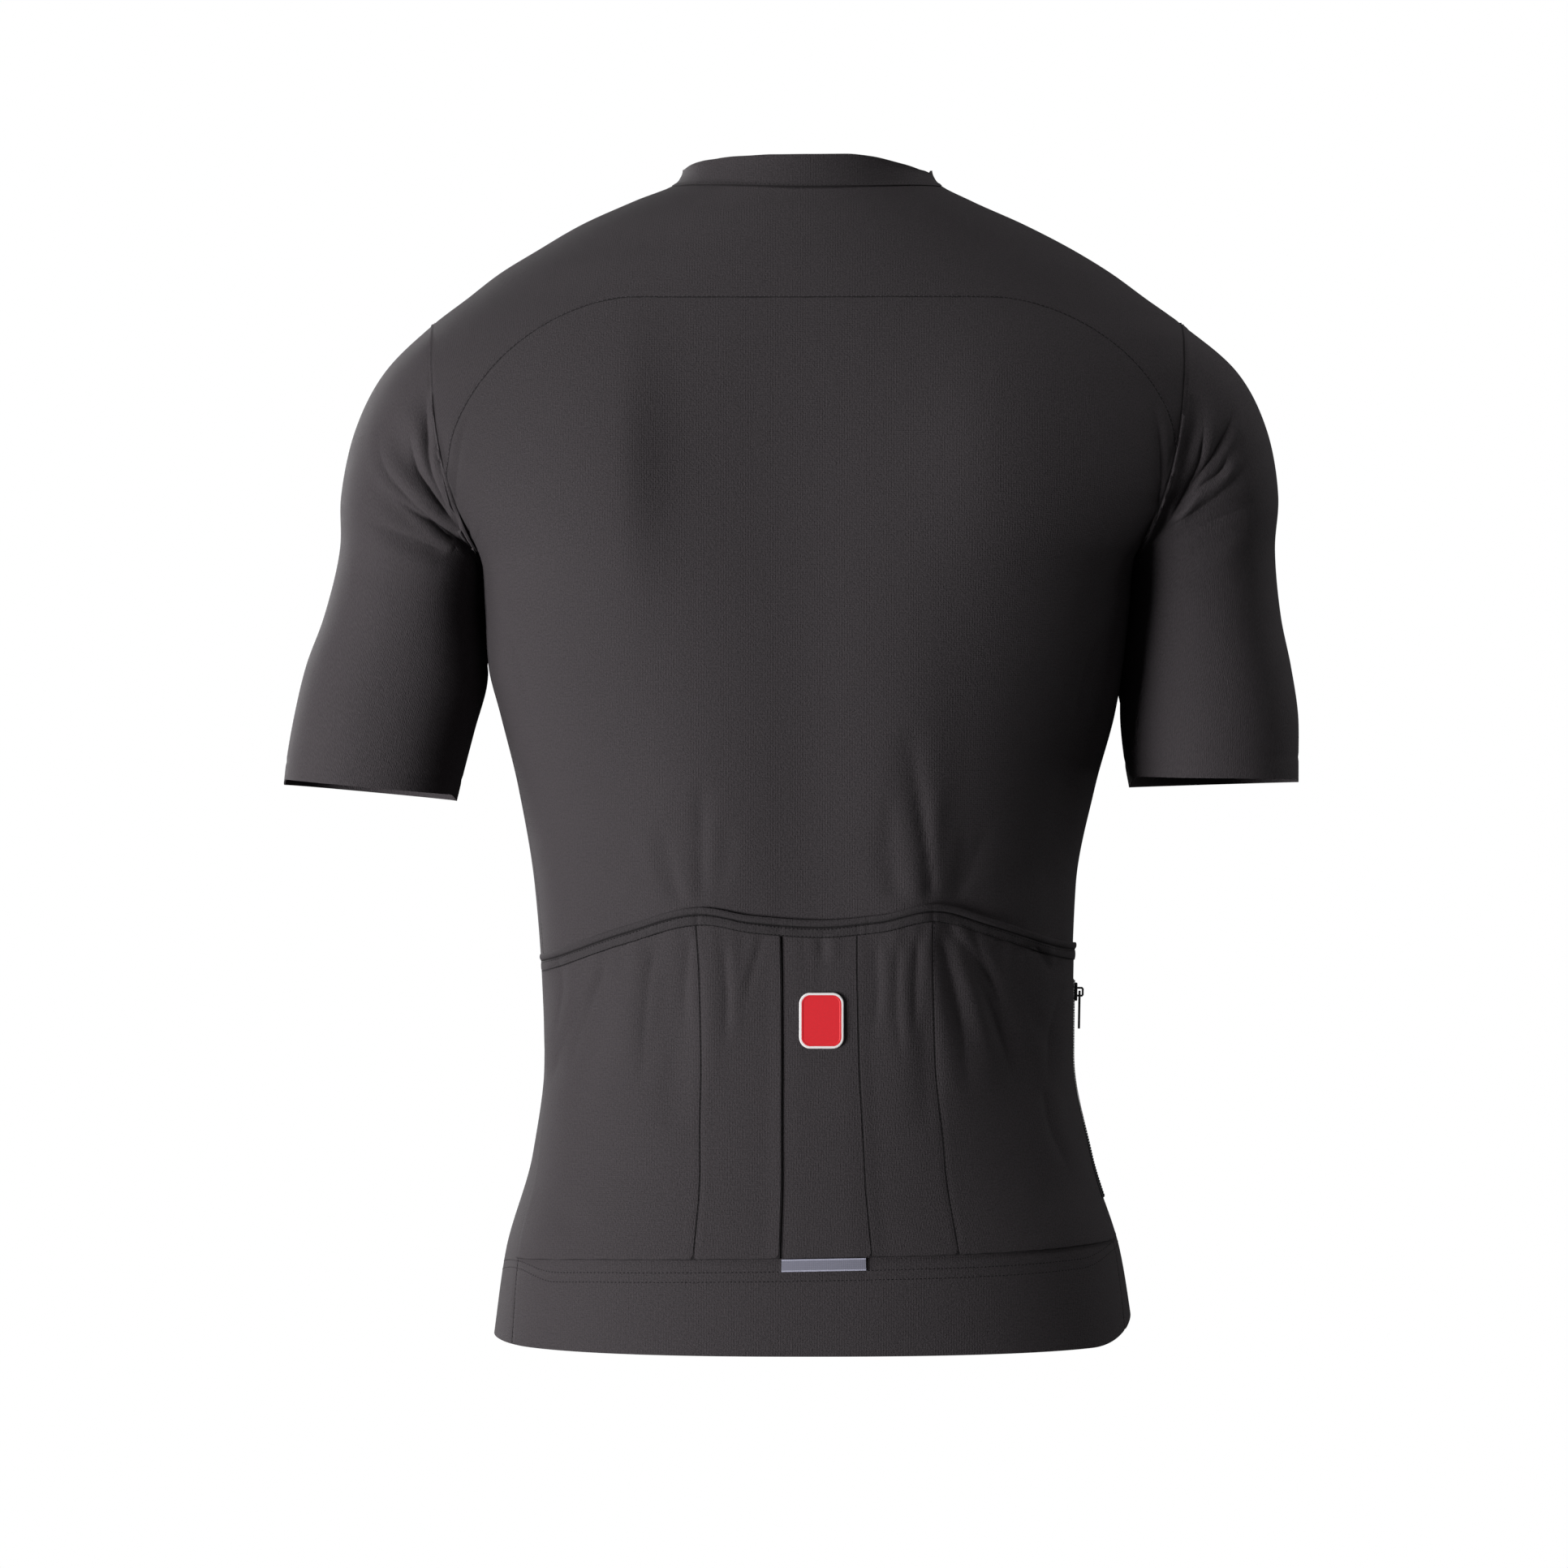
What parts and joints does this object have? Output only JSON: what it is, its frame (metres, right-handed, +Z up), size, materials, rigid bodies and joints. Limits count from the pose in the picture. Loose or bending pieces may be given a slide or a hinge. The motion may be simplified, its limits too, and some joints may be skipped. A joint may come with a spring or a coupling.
{
  "type": "cycling jersey",
  "caption": "Short-sleeved cycling jersey held in its worn shape, with stand collar, shoulder yoke, full front zip, bound back pockets and a zipped side pocket.",
  "frame": {"origin": "midway between the shoulders, at the height where the side of the neckline meets the shoulder ridge, where the wearer's shoulders carry the cloth", "axes": "+X towards the wearer's right, +Y towards the wearer's front, +Z up"},
  "size_m": [0.5665, 0.238, 0.6514],
  "materials": {
    "cloth": "fine matt knit",
    "binding": "ribbed elastic edge",
    "reflective": "reflective film on cloth",
    "patch": "matt plain patch",
    "zip_tape": "woven tape with coil teeth",
    "zip_metal": "satin black"
  },
  "bodies": {
    "garment": {"back": "cloth", "yoke": "cloth", "front_left": "cloth", "front_right": "cloth", "collar": "cloth", "sleeve_left": "cloth", "sleeve_right": "cloth", "pocket_left": "cloth", "pocket_centre": "cloth", "pocket_right": "cloth", "pocket_binding": "binding", "reflective_tab": "reflective", "patch": "patch", "zip_tape_front": "zip_tape", "zip_tape_side": "zip_tape", "zip_slider_front": "zip_metal", "zip_slider_side": "zip_metal"},
    "front_pull": {"zip_pull_front": "zip_metal"},
    "side_pull": {"zip_pull_side": "zip_metal"}
  },
  "joints": [
    {"name": "front_pull_swing", "type": "hinge", "parent": "garment", "child": "front_pull", "pos_m": [0, 0.0724, -0.0387], "axis": [1, 0, 0], "range_deg": [0, 90]},
    {"name": "side_pull_swing", "type": "hinge", "parent": "garment", "child": "side_pull", "pos_m": [0.15056, -0.00552, -0.44696], "axis": [-0.0341, -0.9994, 0], "range_deg": [0, 90]}
  ]
}
